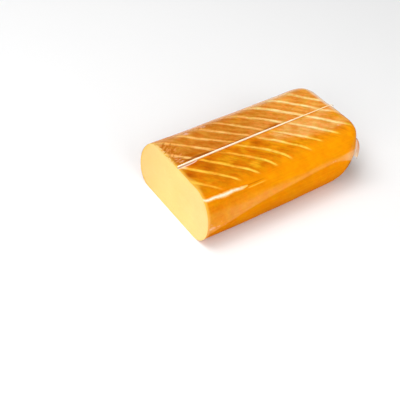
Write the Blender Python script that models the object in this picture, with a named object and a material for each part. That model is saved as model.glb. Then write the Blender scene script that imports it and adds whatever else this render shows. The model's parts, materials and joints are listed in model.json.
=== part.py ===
"""A long smoked edam loaf in its tight clear film, cut square at one end.

The loaf lies along +X from the cut face to the wrapped end and stands on z = 0.
Its section is four quarter ellipses joined by a flat top and a flat base. The section
narrows a little towards the wrapped end, whose edges are rounded. The film shows as a
raised lengthwise weld on top, a welded flap folded down over the wrapped end and a
lifted crease along one shoulder, which is relief in the loaf.
"""
import math

import bmesh
import bpy

# Loaf, in metres
LOAF_LENGTH = 0.2009
CUT_WIDTH = 0.1301
END_WIDTH = 0.1225
BELLY = 0.0034          # extra width at mid length
CUT_HEIGHT = 0.0562
END_HEIGHT = 0.0613
TOP_SAG = 0.0015        # how far the top dips at mid length
TOP_CROWN = 0.0004      # how far the middle of the top stands above its edges

# Section, as shares of the half width and of the height
TOP_FLAT = 0.551
BASE_FLAT = 0.684
WIDEST_AT = 0.406

# Rounding of the wrapped end
END_ROUND_SIDE = 0.0221
END_ROUND_TOP = 0.0079
END_ROUND_BASE = 0.0323

# The cut and the end aren't quite square to the length
LEAN_HEIGHT = 0.032     # where a leaning end crosses its nominal place
CUT_LEAN = math.radians(5.62)
CUT_SKEW = math.radians(1.06)
END_LEAN = math.radians(13.1)
END_SKEW = math.radians(-1.37)

# Lifted film crease along the near shoulder
CREASE_LENGTH = 0.052
CREASE_RISE = 0.0010
CREASE_TURN_AT_CUT = math.radians(57.5)    # where on the shoulder's ellipse it runs
CREASE_TURN_AT_END = math.radians(55.0)
CREASE_SPREAD = math.radians(4.0)

# Lengthwise weld of the film, a fin that leans away from the near side
SEAM_OFFSET = -0.0012   # from the middle of the top
SEAM_BOW = 0.0013       # sideways swing along its length
SEAM_DRIFT = 0.0018     # towards the near side at the wrapped end
SEAM_HEIGHT_AT_CUT = 0.0022
SEAM_HEIGHT_AT_END = 0.0013
SEAM_LEAN = math.radians(28.0)
SEAM_INSET = 0.0006     # from the cut face
SEAM_FOOT = 0.0470      # height at which it stops, on the wrapped end
SEAM_STATIONS = 44
SEAM_TURN_STEPS = 5

# Welded flap folded down over the wrapped end, with an ear at each side
FLAP_TOP = 0.0450
FLAP_FOOT = 0.0210
FLAP_HALF_WIDTH = 0.0480
FLAP_FLARE = 0.0090     # extra half width at the foot
FLAP_STAND_OFF = 0.0012 # of its middle, at the foot
EAR_STAND_OFF = 0.0105
EAR_CURL = 0.50         # share of a half wave that an ear bulges through
EAR_SHARPNESS = 4       # how closely the ears keep to the flap's sides
FLAP_PLEATS = 7
FLAP_PLEAT_CROWDING = 0.5   # the pleats lie closer together towards the ears
FLAP_PLEAT_DEPTH = 0.0004
EAR_PLEAT_DEPTH = 0.0012
FLAP_HEM_WAVE = 0.0010  # rise and fall of the lower edge
FLAP_COLUMNS = 64
FLAP_ROWS = 8

FILM_THICKNESS = 0.0005
FILM_GAP = 0.0003

# Fineness of the loaf's mesh
ARC_STEPS = 16
FLAT_STEPS = 8
BODY_STATIONS = 26
END_STATIONS = 10

CHEESE_COLOUR = (0.98, 0.80, 0.36, 1.0)
RIND_COLOUR = (0.80, 0.34, 0.03, 1.0)
FILM_COLOUR = (0.95, 0.86, 0.74, 1.0)


def remove_all_objects():
    for item in list(bpy.data.objects):
        bpy.data.objects.remove(item, do_unlink=True)


def make_material(name, colour, roughness, metallic=0.0):
    material = bpy.data.materials.new(name)
    material.use_nodes = True
    shader = material.node_tree.nodes["Principled BSDF"]
    shader.inputs["Base Color"].default_value = colour
    shader.inputs["Roughness"].default_value = roughness
    shader.inputs["Metallic"].default_value = metallic
    return material


def make_object(name, mesh, materials, parent):
    item = bpy.data.objects.new(name, mesh)
    bpy.context.scene.collection.objects.link(item)
    for material in materials:
        mesh.materials.append(material)
    item.parent = parent
    return item


def loaf_width(share):
    swell = BELLY * 4 * share * (1 - share)
    return CUT_WIDTH + (END_WIDTH - CUT_WIDTH) * share + swell


def loaf_height(share):
    dip = TOP_SAG * 4 * share * (1 - share)
    return CUT_HEIGHT + (END_HEIGHT - CUT_HEIGHT) * share - dip


def end_offset(along, radius):
    """How far an edge rounded to this radius has drawn in at a distance along the loaf."""
    reach = max(0.0, along - (LOAF_LENGTH - radius)) / radius
    return radius * (1 - math.sqrt(max(0.0, 1 - reach * reach)))


def leaned(along, across, height):
    """The point of the loaf, with the lean and skew of its two ends shared along it."""
    share = along / LOAF_LENGTH
    rise = height - LEAN_HEIGHT
    at_cut = rise * math.tan(CUT_LEAN) + across * math.tan(CUT_SKEW)
    at_end = rise * math.tan(END_LEAN) + across * math.tan(END_SKEW)
    return (along + (1 - share) * at_cut + share * at_end, across, height)


def arc(centre, reach, rise, start, stop):
    """Points of an ellipse's quarter as (across, height, angle)."""
    points = []
    for step in range(ARC_STEPS + 1):
        angle = start + (stop - start) * step / ARC_STEPS
        across = centre[0] + reach * math.cos(angle)
        points.append((across, centre[1] + rise * math.sin(angle), angle))
    return points


def right_half(width, height):
    half = width / 2
    widest = WIDEST_AT * height
    flat_base = BASE_FLAT * half
    flat_top = TOP_FLAT * half
    lower = arc((flat_base, widest), half - flat_base, widest, -math.pi / 2, 0.0)
    upper = arc((flat_top, widest), half - flat_top, height - widest, 0.0, math.pi / 2)
    return lower[:-1] + upper


def crease_lift(along, angle):
    """The film's lifted crease: a low ridge that fades out along the shoulder."""
    share = along / CREASE_LENGTH
    fade = max(0.0, 1 - share * share)
    middle = CREASE_TURN_AT_CUT + (CREASE_TURN_AT_END - CREASE_TURN_AT_CUT) * share
    turn = (angle - middle) / CREASE_SPREAD
    return CREASE_RISE * fade * math.exp(-turn * turn)


def section(along):
    """The loaf's outline at a distance along it, from the base edge round to the start."""
    share = along / LOAF_LENGTH
    width = loaf_width(share)
    height = loaf_height(share)
    half = width / 2
    right = right_half(width, height)
    outline = [(across, z) for across, z, _ in right]
    flat_top = right[-1][0]
    flat_base = right[0][0]
    for step in range(1, FLAT_STEPS):
        across = flat_top * (1 - 2 * step / FLAT_STEPS)
        crown = TOP_CROWN * (1 - (across / flat_top) ** 2)
        outline.append((across, height + crown))
    for across, z, angle in reversed(right):
        lift = crease_lift(along, angle)
        outline.append((-across - lift * math.cos(angle), z + lift * math.sin(angle)))
    for step in range(1, FLAT_STEPS):
        outline.append((-flat_base * (1 - 2 * step / FLAT_STEPS), 0.0))
    side = end_offset(along, END_ROUND_SIDE)
    top = end_offset(along, END_ROUND_TOP)
    base = end_offset(along, END_ROUND_BASE)
    squeeze = (half - side) / half
    press = (height - top - base) / height
    return [(across * squeeze, base + z * press) for across, z in outline]


def loaf_stations():
    deepest = max(END_ROUND_SIDE, END_ROUND_TOP, END_ROUND_BASE)
    straight = LOAF_LENGTH - deepest
    stations = [straight * step / BODY_STATIONS for step in range(BODY_STATIONS)]
    for step in range(END_STATIONS + 1):
        stations.append(straight + deepest * math.sin(step / END_STATIONS * math.pi / 2))
    return stations


def build_loaf(parent, materials):
    """Skins the outlines along the loaf and closes the cut face and the wrapped end."""
    shape = bmesh.new()
    loops = []
    for along in loaf_stations():
        loop = [shape.verts.new(leaned(along, across, z)) for across, z in section(along)]
        loops.append(loop)
    count = len(loops[0])
    for near, far in zip(loops, loops[1:]):
        for index in range(count):
            following = (index + 1) % count
            corners = (near[index], far[index], far[following], near[following])
            shape.faces.new(corners).smooth = True
    cut_face = shape.faces.new(loops[0])
    cut_face.material_index = 1
    shape.faces.new(list(reversed(loops[-1])))
    bmesh.ops.recalc_face_normals(shape, faces=shape.faces[:])
    mesh = bpy.data.meshes.new("cheese_loaf")
    shape.to_mesh(mesh)
    shape.free()
    return make_object("cheese_loaf", mesh, materials, parent)


def top_at(along, across):
    """Height of the top surface on its flat middle."""
    share = along / LOAF_LENGTH
    height = loaf_height(share)
    flat_top = TOP_FLAT * loaf_width(share) / 2
    crown = TOP_CROWN * (1 - (across / flat_top) ** 2)
    top = end_offset(along, END_ROUND_TOP)
    base = end_offset(along, END_ROUND_BASE)
    return base + (height + crown) * (height - top - base) / height


def sheet_from_rows(name, rows, material, parent):
    """A thin film piece: a grid of points split into triangles and given its thickness."""
    shape = bmesh.new()
    grid = [[shape.verts.new(point) for point in row] for row in rows]
    for lower, upper in zip(grid, grid[1:]):
        for index in range(len(lower) - 1):
            corners = (lower[index], lower[index + 1], upper[index + 1], upper[index])
            shape.faces.new(corners)
    bmesh.ops.triangulate(shape, faces=shape.faces[:])
    bmesh.ops.recalc_face_normals(shape, faces=shape.faces[:])
    mesh = bpy.data.meshes.new(name)
    shape.to_mesh(mesh)
    shape.free()
    mesh.shade_smooth()
    item = make_object(name, mesh, [material], parent)
    thicken = item.modifiers.new("film thickness", "SOLIDIFY")
    thicken.thickness = FILM_THICKNESS
    thicken.offset = 0.0
    return item


def seam_spine():
    """The weld's stations as (along, height, turn): over the top, then down the end."""
    straight = LOAF_LENGTH - END_ROUND_TOP
    spine = []
    for step in range(SEAM_STATIONS):
        along = SEAM_INSET + (straight - SEAM_INSET) * step / SEAM_STATIONS
        spine.append((along, top_at(along, SEAM_OFFSET), 0.0))
    for step in range(SEAM_TURN_STEPS + 1):
        turn = math.pi / 2 * step / SEAM_TURN_STEPS
        along = straight + END_ROUND_TOP * math.sin(turn)
        spine.append((along, top_at(along, SEAM_OFFSET), turn))
    spine.append((LOAF_LENGTH, SEAM_FOOT, math.pi / 2))
    return spine


def build_seam(parent, material):
    """The lengthwise weld: a low fin of film along the top and over the end's edge."""
    foot = []
    edge = []
    clear = FILM_GAP + FILM_THICKNESS / 2 * math.sin(SEAM_LEAN)
    for along, height, turn in seam_spine():
        share = along / LOAF_LENGTH
        across = SEAM_OFFSET + SEAM_BOW * math.sin(math.pi * share) - SEAM_DRIFT * share**3
        tall = SEAM_HEIGHT_AT_CUT + (SEAM_HEIGHT_AT_END - SEAM_HEIGHT_AT_CUT) * share
        out_along = math.sin(turn)
        out_up = math.cos(turn)
        low = (along + clear * out_along, height + clear * out_up)
        reach = tall * math.cos(SEAM_LEAN)
        high = (low[0] + reach * out_along, low[1] + reach * out_up)
        foot.append(leaned(low[0], across, low[1]))
        edge.append(leaned(high[0], across + tall * math.sin(SEAM_LEAN), high[1]))
    return sheet_from_rows("film_seam", [foot, edge], material, parent)


def rounded_back(beyond, radius):
    """How far a rounded edge has drawn back where the surface is this far past its start."""
    reach = min(1.0, max(0.0, beyond) / radius)
    return radius * (1 - math.sqrt(1 - reach * reach))


def end_face_at(across, height):
    """X of the wrapped end's surface, or just outside it near the end's lower corners."""
    side = rounded_back(abs(across) - (END_WIDTH / 2 - END_ROUND_SIDE), END_ROUND_SIDE)
    base = rounded_back(END_ROUND_BASE - height, END_ROUND_BASE)
    return leaned(LOAF_LENGTH - max(side, base), across, height)[0]


def flap_point(spread, down):
    """A point of the flap from its spread, -1 to 1 across, and its share of the drop."""
    phase = math.pi * FLAP_PLEATS * spread * (1 + FLAP_PLEAT_CROWDING * spread * spread)
    ear = abs(spread) ** EAR_SHARPNESS
    across = spread * (FLAP_HALF_WIDTH + FLAP_FLARE * down)
    hem = FLAP_HEM_WAVE * down * math.cos(phase)
    height = FLAP_TOP + (FLAP_FOOT - FLAP_TOP) * down + hem
    bulge = EAR_STAND_OFF * math.sin(math.pi * EAR_CURL * down)
    pleat = FLAP_PLEAT_DEPTH + (EAR_PLEAT_DEPTH - FLAP_PLEAT_DEPTH) * ear
    out = FLAP_STAND_OFF * down * (1 - ear) + bulge * ear + pleat * down * math.sin(phase)
    clear = FILM_GAP + FILM_THICKNESS
    return (end_face_at(across, height) + clear + out, across, height)


def build_flap(parent, material):
    """The end weld: a flap that hangs close over the end and flares out at its ears."""
    rows = []
    for row in range(FLAP_ROWS + 1):
        down = row / FLAP_ROWS
        spreads = [2 * column / FLAP_COLUMNS - 1 for column in range(FLAP_COLUMNS + 1)]
        rows.append([flap_point(spread, down) for spread in spreads])
    return sheet_from_rows("film_flap", rows, material, parent)


def centre_on_base(parent, items):
    """Moves the parent so that the origin is the middle of the loaf's footprint box."""
    bpy.context.view_layer.update()
    view = bpy.context.evaluated_depsgraph_get()
    corners = []
    for item in items:
        mesh = item.evaluated_get(view).to_mesh()
        corners.extend(vertex.co.copy() for vertex in mesh.vertices)
    for axis in (0, 1):
        values = [corner[axis] for corner in corners]
        parent.location[axis] = -(min(values) + max(values)) / 2
    bpy.context.view_layer.update()


def main():
    remove_all_objects()
    cheese = make_material("cheese paste", CHEESE_COLOUR, 0.45)
    rind = make_material("smoked rind under film", RIND_COLOUR, 0.22)
    film = make_material("clear film", FILM_COLOUR, 0.15)
    stand = bpy.data.objects.new("loaf frame", None)
    bpy.context.scene.collection.objects.link(stand)
    loaf = build_loaf(stand, [rind, cheese])
    seam = build_seam(stand, film)
    flap = build_flap(stand, film)
    centre_on_base(stand, [loaf, seam, flap])


main()
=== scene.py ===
import json
from math import cos, pi, radians, sin, tan

import bpy
import numpy as np
from mathutils import Matrix, Vector

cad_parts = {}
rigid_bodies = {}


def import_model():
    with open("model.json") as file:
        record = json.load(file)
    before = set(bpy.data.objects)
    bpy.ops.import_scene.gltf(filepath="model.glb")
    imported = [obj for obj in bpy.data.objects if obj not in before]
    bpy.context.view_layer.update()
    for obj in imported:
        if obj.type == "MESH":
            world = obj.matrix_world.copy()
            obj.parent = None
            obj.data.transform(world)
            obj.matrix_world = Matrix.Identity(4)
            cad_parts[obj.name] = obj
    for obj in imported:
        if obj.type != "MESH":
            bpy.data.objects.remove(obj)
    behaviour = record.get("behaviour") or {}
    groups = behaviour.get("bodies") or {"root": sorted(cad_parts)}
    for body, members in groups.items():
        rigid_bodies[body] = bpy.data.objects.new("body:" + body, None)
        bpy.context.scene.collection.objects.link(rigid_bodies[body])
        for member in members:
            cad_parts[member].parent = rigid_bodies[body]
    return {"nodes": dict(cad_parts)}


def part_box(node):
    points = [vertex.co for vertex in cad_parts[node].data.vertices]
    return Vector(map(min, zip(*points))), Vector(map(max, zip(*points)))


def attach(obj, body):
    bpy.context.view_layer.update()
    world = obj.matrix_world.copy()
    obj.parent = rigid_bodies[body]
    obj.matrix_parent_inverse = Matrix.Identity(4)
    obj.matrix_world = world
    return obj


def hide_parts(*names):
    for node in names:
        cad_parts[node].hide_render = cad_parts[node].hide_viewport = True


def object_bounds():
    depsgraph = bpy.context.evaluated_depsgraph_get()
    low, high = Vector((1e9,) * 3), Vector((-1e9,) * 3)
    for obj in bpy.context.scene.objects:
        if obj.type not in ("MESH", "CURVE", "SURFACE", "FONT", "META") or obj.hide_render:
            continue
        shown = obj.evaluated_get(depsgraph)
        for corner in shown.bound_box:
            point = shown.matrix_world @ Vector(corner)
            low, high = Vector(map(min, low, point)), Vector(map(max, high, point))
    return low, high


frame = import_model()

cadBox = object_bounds()
scene = bpy.context.scene
mm = 0.001
dice = np.random.default_rng(11)
print("solids loaded:", sorted(frame["nodes"]))


# Linear colour from red, green and blue on screen, each 0 to 255
def shown(red, green, blue):
    share = np.array([red, green, blue]) / 255
    linear = np.where(share <= 0.04045, share / 12.92, ((share + 0.055) / 1.055) ** 2.4)
    return (*linear.tolist(), 1.0)


# One output socket, so that sums and products of masks are plain maths
class Wire:
    def __init__(self, graph, socket):
        self.graph = graph
        self.socket = socket

    def maths(self, operation, *others):
        return self.graph.node("Math", {"operation": operation}, dict(enumerate((self, *others))))

    def __add__(self, other):
        return self.maths("ADD", other)

    def __sub__(self, other):
        return self.maths("SUBTRACT", other)

    def __rsub__(self, other):
        return self.graph.node("Math", {"operation": "SUBTRACT"}, {0: other, 1: self})

    def __mul__(self, other):
        return self.maths("MULTIPLY", other)

    def __truediv__(self, other):
        return self.maths("DIVIDE", other)

    def __neg__(self):
        return self * -1.0

    def __abs__(self):
        return self.maths("ABSOLUTE")

    __radd__ = __add__
    __rmul__ = __mul__

    # 0 below the first value, 1 above the second, smooth between them
    def rise(self, low, high):
        values = {"Value": self, "From Min": low, "From Max": high}
        return self.graph.node("MapRange", {"interpolation_type": "SMOOTHSTEP"}, values)

    # 1 below the first value, 0 above the second
    def fall(self, low, high):
        return 1.0 - self.rise(low, high)

    # 1 at the centre, falling off as a bell of this reach
    def bell(self, centre, reach):
        offset = (self - centre) / reach
        return (-(offset * offset)).power()

    # e to the power of this
    def power(self):
        return self.maths("EXPONENT")


# Adds nodes to one tree, each by its kind without ShaderNode, its settings and its sockets
class Graph:
    def __init__(self, tree):
        self.tree = tree
        tree.nodes.clear()

    def node(self, kind, settings, sockets, output=0):
        made = self.tree.nodes.new("ShaderNode" + kind)
        count = len(self.tree.nodes)
        made.location = (200 * (count % 14), -260 * (count // 14))
        for name, value in settings.items():
            setattr(made, name, value)
        for key, value in sockets.items():
            if isinstance(value, Wire):
                self.tree.links.new(value.socket, made.inputs[key])
            else:
                made.inputs[key].default_value = value
        return Wire(self, made.outputs[output])

    # two colours mixed, each a wire or three numbers from 0 to 255
    def blend(self, mask, first, second):
        first, second = [shade if isinstance(shade, Wire) else shown(*shade) for shade in (first, second)]
        return self.node("Mix", {"data_type": "RGBA"}, {0: mask, 6: first, 7: second}, 2)

    # colours laid over the first in turn, each through its mask
    def layered(self, colour, *layers):
        for mask, over in layers:
            colour = self.blend(mask, colour, over)
        return colour

    # a colour made lighter or darker by a factor
    def scaled(self, colour, factor):
        return self.node("VectorMath", {"operation": "SCALE"}, {0: colour, "Scale": factor})

    # a colour times factors that run from one set to another
    def tinted(self, colour, mask, low, high):
        sockets = {0: mask, 6: (*low, 1.0), 7: (*high, 1.0)}
        tint = self.node("Mix", {"data_type": "RGBA"}, sockets, 2)
        return self.node("VectorMath", {"operation": "MULTIPLY"}, {0: colour, 1: tint})

    def noise(self, place, scale, detail=2.0, roughness=0.5, distortion=0.0):
        values = {"Vector": place, "Scale": scale, "Detail": detail,
                  "Roughness": roughness, "Distortion": distortion}
        return self.node("TexNoise", {}, values)

    # noise over the skin, drawn out to this length and width, and turned
    def streaks(self, length, width, turn=0.0, detail=2.0, roughness=0.5, distortion=0.0):
        values = {"Vector": self.skinPlace(), "Scale": (length, width, 1.0), "Rotation": (0.0, 0.0, turn)}
        place = self.node("Mapping", {"vector_type": "TEXTURE"}, values)
        return self.noise(place, 1.0, detail, roughness, distortion)

    def attribute(self, name):
        return self.node("Attribute", {"attribute_name": name}, {}, "Fac")

    def objectPlace(self):
        return self.node("TexCoord", {}, {}, "Object")

    def skinPlace(self):
        return self.node("UVMap", {"uv_map": "skin"}, {})

    # a vector's three numbers
    def parts(self, vector):
        first = self.node("SeparateXYZ", {}, {0: vector})
        return [Wire(self, socket) for socket in first.socket.node.outputs]

    def bump(self, height, distance, strength):
        values = {"Height": height, "Distance": distance, "Strength": strength}
        return self.node("Bump", {}, values)

    def finish(self, surface, kind="OutputMaterial"):
        made = self.tree.nodes.new("ShaderNode" + kind)
        self.tree.links.new(surface.socket, made.inputs["Surface"])

    def principled(self, values):
        self.finish(self.node("BsdfPrincipled", {}, values))


def newMaterial(name):
    material = bpy.data.materials.new(name)
    material.use_nodes = True
    return material, Graph(material.node_tree)


# A mesh object from vertex, face and corner arrays
def newPiece(name, points, quads, triangles=None, uv=None, attributes=None, kinds=None):
    corners = quads.ravel()
    sizes = np.full(len(quads), 4)
    if triangles is not None:
        corners = np.hstack([corners, triangles.ravel()])
        sizes = np.hstack([sizes, np.full(len(triangles), 3)])
    starts = np.hstack([[0], np.cumsum(sizes)[:-1]]).astype(np.int32)
    mesh = bpy.data.meshes.new(name)
    mesh.vertices.add(len(points))
    mesh.vertices.foreach_set("co", points.astype(np.float32).ravel())
    mesh.loops.add(len(corners))
    mesh.loops.foreach_set("vertex_index", corners.astype(np.int32))
    mesh.polygons.add(len(sizes))
    mesh.polygons.foreach_set("loop_start", starts)
    if kinds is not None:
        mesh.polygons.foreach_set("material_index", kinds.astype(np.int32))
    if uv is not None:
        layer = mesh.uv_layers.new(name="skin")
        layer.data.foreach_set("uv", uv.astype(np.float32).ravel())
    for label, values in (attributes or {}).items():
        layer = mesh.attributes.new(label, "FLOAT", "POINT")
        layer.data.foreach_set("value", values.astype(np.float32).ravel())
    mesh.update(calc_edges=True)
    mesh.validate()
    mesh.shade_smooth()
    piece = bpy.data.objects.new(name, mesh)
    scene.collection.objects.link(piece)
    return piece


# Sum of bells, one for each row of centre along and round, reach along and round, and height
def patches(x, s, rows):
    total = np.zeros_like(x)
    for middleX, middleS, reachX, reachS, amount in rows:
        total += amount * np.exp(-(((x - middleX) / reachX) ** 2) - ((s - middleS) / reachS) ** 2)
    return total


# 0 to 1 with no corner at either end
def eased(value, low, high):
    share = np.clip((value - low) / (high - low), 0, 1)
    return share * share * (3 - 2 * share)


# The loaf's form, the same as in the solids
loaf = dict(
    length=200.9 * mm,
    cutWidth=130.1 * mm,
    endWidth=122.5 * mm,
    belly=3.4 * mm,  # extra width at mid length
    cutHeight=56.2 * mm,
    endHeight=61.3 * mm,
    topSag=1.5 * mm,
    topCrown=0.4 * mm,
    topFlat=0.551,  # shares of the half width
    baseFlat=0.684,
    widestAt=0.406,  # share of the height
    roundSide=22.1 * mm,  # rounding of the wrapped end
    roundTop=7.9 * mm,
    roundBase=32.3 * mm,
    leanHeight=32 * mm,  # where a leaning end crosses its nominal place
    cutLean=radians(5.62),
    cutSkew=radians(1.06),
    endLean=radians(13.1),
    endSkew=radians(-1.37),
    topColumns=60,
    shoulderColumns=54,
    footColumns=30,
    baseColumns=9,
    stations=230,
    endStations=36,
    cutRings=22,
    endRings=18,
    ringCrowding=1.6,  # draws an end face's rings towards its rim
    reliefGrowth=12,  # how fast its relief comes in
    skinRunOn=30 * mm,  # of the skin's coordinates over it
    sharpAngle=radians(40),
)


# Straight taper plus a parabola that swells mid length
def widthAt(share):
    swell = loaf["belly"] * 4 * share * (1 - share)
    return loaf["cutWidth"] + (loaf["endWidth"] - loaf["cutWidth"]) * share + swell


# Straight taper less a parabola that dips mid length
def heightAt(share):
    dip = loaf["topSag"] * 4 * share * (1 - share)
    return loaf["cutHeight"] + (loaf["endHeight"] - loaf["cutHeight"]) * share - dip


# Quarter circle: how far a rounded edge has drawn back at a distance past its start
def drawnBack(beyond, radius):
    reach = np.clip(beyond / radius, 0, 1)
    return radius * (1 - np.sqrt(1 - reach**2))


# The same at a distance along the loaf, for an edge of the wrapped end
def drawnIn(along, radius):
    return drawnBack(along - (loaf["length"] - radius), radius)


# Shear that leans and skews the two ends, shared along the length
def leaned(along, across, height):
    share = along / loaf["length"]
    rise = height - loaf["leanHeight"]
    atCut = rise * tan(loaf["cutLean"]) + across * tan(loaf["cutSkew"])
    atEnd = rise * tan(loaf["endLean"]) + across * tan(loaf["endSkew"])
    return np.stack([along + (1 - share) * atCut + share * atEnd, across, height], -1)


# Half of the section from the middle of the top to the middle of the base: a crowned straight,
# two quarter ellipses and the flat base; then the wrapped end's rounding squeezes it
def halfSection(along):
    share = along / loaf["length"]
    half = widthAt(share) / 2
    height = heightAt(share)
    widest = loaf["widestAt"] * height
    flatTop = loaf["topFlat"] * half
    flatBase = loaf["baseFlat"] * half
    run = np.linspace(0, 1, loaf["topColumns"] + 1)[:-1]
    upper = np.linspace(pi / 2, 0, loaf["shoulderColumns"] + 1)[:-1]
    lower = np.linspace(0, -pi / 2, loaf["footColumns"] + 1)[:-1]
    inward = np.linspace(1, 0, loaf["baseColumns"] + 1)
    across = np.hstack([flatTop * run,
                        flatTop + (half - flatTop) * np.cos(upper),
                        flatBase + (half - flatBase) * np.cos(lower),
                        flatBase * inward])
    rise = np.hstack([height + loaf["topCrown"] * (1 - run**2),
                      widest + (height - widest) * np.sin(upper),
                      widest + widest * np.sin(lower),
                      np.zeros_like(height * inward)])
    side = drawnIn(along, loaf["roundSide"])
    top = drawnIn(along, loaf["roundTop"])
    base = drawnIn(along, loaf["roundBase"])
    return across * (half - side) / half, base + rise * (height - top - base) / height


# Distances along the loaf of its stations: even, then closing up round the wrapped end
def stationsAlong():
    deepest = loaf["roundBase"]
    straight = loaf["length"] - deepest
    body = np.linspace(0, straight, loaf["stations"] + 1)[:-1]
    turn = np.linspace(0, 1, loaf["endStations"] + 1)
    return np.hstack([body, straight + deepest * np.sin(turn * pi / 2)])[:, None]


# Both halves as one closed loop of columns: top middle, near side, base middle, far side
def closedLoop(near, far):
    return np.hstack([near, far[:, -2:0:-1]])


along = stationsAlong()
halfAcross, halfHeight = halfSection(along)
across = closedLoop(-halfAcross, halfAcross)
height = closedLoop(halfHeight, halfHeight)
steps = np.hypot(np.diff(halfAcross, axis=1), np.diff(halfHeight, axis=1))
around = np.hstack([np.zeros_like(along), np.cumsum(steps, axis=1)])
skinAlong = np.broadcast_to(along, across.shape)
skinAround = closedLoop(around, -around)  # from the top's middle; the near side is positive
plain = leaned(skinAlong, across, height)
low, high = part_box("cheese_loaf")
shift = np.array([low.x - plain[..., 0].min(), low.y - plain[..., 1].min(), 0])
skinX = skinAlong / mm
skinS = skinAround / mm
print("loaf's form:", plain.shape[:2])


# Pale bands where the rack's rods kept the smoke off, in shallow grooves
marks = dict(
    # each mark's place along the loaf, in mm, at three distances from the top's middle
    farAt=(-38, -20, -4),
    far=((-65, -44, -26), (-41, -20, -3), (-17, 4, 20.2), (12, 31.5, 46.9), (34, 53.1, 72.4),
            (57.1, 75.2, 92.5), (78.1, 95.2, 109), (99.3, 119.6, 134.3), (127.2, 144.8, 157.8),
            (151.5, 167.2, 179.2), (173.1, 185.3, 200.1), (193, 205, 219), (213, 226, 240)),
    farStrength=(0.8, 1, 1, 0.95, 0.95, 0.8, 0.75, 0.95, 1.05, 1.05, 0.9, 0.4, 0),
    farFrom=(0, 0, 0, 0, 7, 5, 5, 3, 0, 0, 0, 0, 0),  # where each reaches its full strength
    farTo=(50,) * 13,
    nearAt=(4, 24, 44),
    near=((-65, -47, -28), (-43, -25, -6), (-20, -1.7, 18.8), (6, 25.1, 43.2), (29.3, 47.7, 65.3),
             (53.2, 73.2, 88.6), (74.8, 94, 107.9), (99.4, 116.1, 132.6), (118.9, 135.1, 153.2),
             (141.6, 158.1, 175.2), (164.2, 179.6, 198), (184, 204, 222), (208, 226, 244)),
    nearStrength=(0, 0, 1, 1, 1, 1, 1, 0.95, 0.95, 0.9, 0.9, 0.8, 0),
    nearFrom=(0, 0, 0, 5, 3, 9, 10, 10, 5, 4, 3, 0, 0),
    nearTo=(48, 48, 50, 49, 50, 50, 49.5, 49, 45, 45, 42, 40, 40),
    fadeLength=7,
    grownFrom=0.35,  # share of its strength beside the weld, where a mark grows
    endFade=(200.85, 199.3),  # mm along where they are gone, and whole
    followed=60,  # mm round that their lines are followed
    meetsAt=-0.5,  # the weld, where the two tables meet
    apart=15.5,  # mm between marks, square to them
    depth=0.30 * mm,
    halfWidth=1.25,  # mm, of the groove
    lip=(0.25, 2.5, 0.9),  # raised beside it: share of the depth, how far off, reach
    paleHalfWidth=2.5,  # mm, of the pale band
)


# A parabola through three points for each mark, then a count along the loaf: the marks passed
# plus the share of the gap to the next
def markCount(x, s, table, at):
    a, b, c = at
    first = (s - b) * (s - c) / ((a - b) * (a - c))
    second = (s - a) * (s - c) / ((b - a) * (b - c))
    third = (s - a) * (s - b) / ((c - a) * (c - b))
    total = np.zeros_like(x)
    lines = [row[0] * first + row[1] * second + row[2] * third for row in table]
    for line, following in zip(lines, lines[1:]):
        total += np.clip((x - line) / (following - line), 0, 1)
    return total


# Each side's strengths, eased in from the weld and out again round its shoulder
def markStrengthOn(count, away, side):
    nearest = np.clip(np.rint(count).astype(int), 0, len(marks[side]) - 1)
    strength, starts, stops = [np.array(marks[side + key], float)[nearest]
                               for key in ("Strength", "From", "To")]
    least = marks["grownFrom"]
    grown = np.where(starts > 0, least + (1 - least) * eased(away, 0, np.maximum(starts, 0.1)), 1)
    faded = 1 - eased(away, stops - marks["fadeLength"], stops)
    return strength * grown * faded


# Count and strength of the marks, by the far table behind the weld and the near one before it
def marksOn(x, s):
    spread = np.clip(s, -marks["followed"], marks["followed"])
    far = markCount(x, spread, marks["far"], marks["farAt"])
    near = markCount(x, spread, marks["near"], marks["nearAt"])
    behind = s < marks["meetsAt"]
    strength = np.where(behind, markStrengthOn(far, -s, "far"), markStrengthOn(near, s, "near"))
    return np.where(behind, far, near), strength


markPlace, markStrength = marksOn(skinX, skinS)
markAway = np.abs(markPlace - np.rint(markPlace)) * marks["apart"]
lipShare, lipAt, lipReach = marks["lip"]
groove = np.exp(-((markAway / marks["halfWidth"]) ** 2))
groove -= lipShare * np.exp(-(((markAway - lipAt) / lipReach) ** 2))
markRelief = -marks["depth"] * markStrength * groove


# Clear film that clings: a crease lifted on the near shoulder, a tuck beside the weld at the cut,
# gentle waves, and fuller corners; places along and round in mm
farOff = 9  # an offset well clear of a fold
cling = dict(
    # half width, end, the last stretches that narrow and lower it, height
    crease=(1.05, 52, 8, 6, 1 * mm),
    tuck=(0.7, 26, 6, 5, 0.5 * mm),
    creaseLine=(53.2, 0.026),  # mm round, and more for each mm along
    creaseDrop=(2.5, 3.5),  # how much less at the cut, and its reach
    creaseRipple=(0.35, 3.4, 1),  # amount, length and phase
    creaseSwell=(25, 9, 0.45),  # where it is widest, reach, amount
    tuckLine=(3.1, 3),  # mm round at the cut, how much it closes in
    fullness=((197, 44, 8, 9, 1.5), (0, -54, 14, 8, 0.5), (196, -46, 8, 8, 0.6)),
    waves=9,
    waveHeight=0.07 * mm,
    waveLengths=(24 * mm, 70 * mm),
    waveTurn=0.6,  # most that a heading strays
    waveFoot=8 * mm,  # height below which they fade out
)


# Offset from a fold's line in half widths, which taper towards its end
def foldOffset(fold, x, away, swell=1):
    halfWidth, end, narrowing = cling[fold][:3]
    taper = np.sqrt(np.clip((end - x) / narrowing, 0.1, 1))
    return np.clip(away / (halfWidth * swell * taper), -farOff, farOff)


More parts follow.
